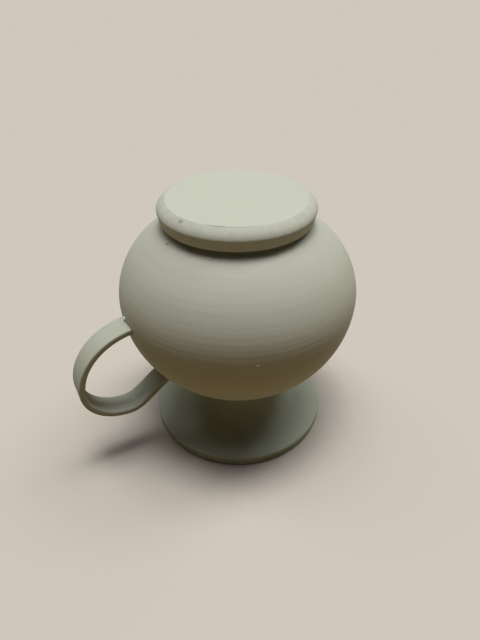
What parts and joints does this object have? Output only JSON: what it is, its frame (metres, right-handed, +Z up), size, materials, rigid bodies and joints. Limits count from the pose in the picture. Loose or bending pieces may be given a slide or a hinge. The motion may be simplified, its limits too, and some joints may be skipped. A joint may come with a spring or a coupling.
{
  "type": "milk jug",
  "caption": "Small round-bellied milk jug on a flared foot, with a lift-off lid and a low strap handle for one finger.",
  "frame": {"origin": "centre of the foot's flat underside, on the jug's axis", "axes": "+Z up along the jug's axis, the handle on the side of -X in the XZ plane, +Y completing the frame"},
  "size_m": [0.1105, 0.0888, 0.0982],
  "materials": {
    "sage_plastic": "matte layered print in pale sage grey-green, with fine level lines all round"
  },
  "bodies": {
    "jug": {"foot": "sage_plastic", "bowl": "sage_plastic", "handle": "sage_plastic"},
    "lid": {"lid": "sage_plastic"}
  },
  "joints": [
    {"name": "lid_lift", "type": "slide", "parent": "jug", "child": "lid", "axis": [0, 0, 1], "range_m": [0, 0.06]}
  ]
}
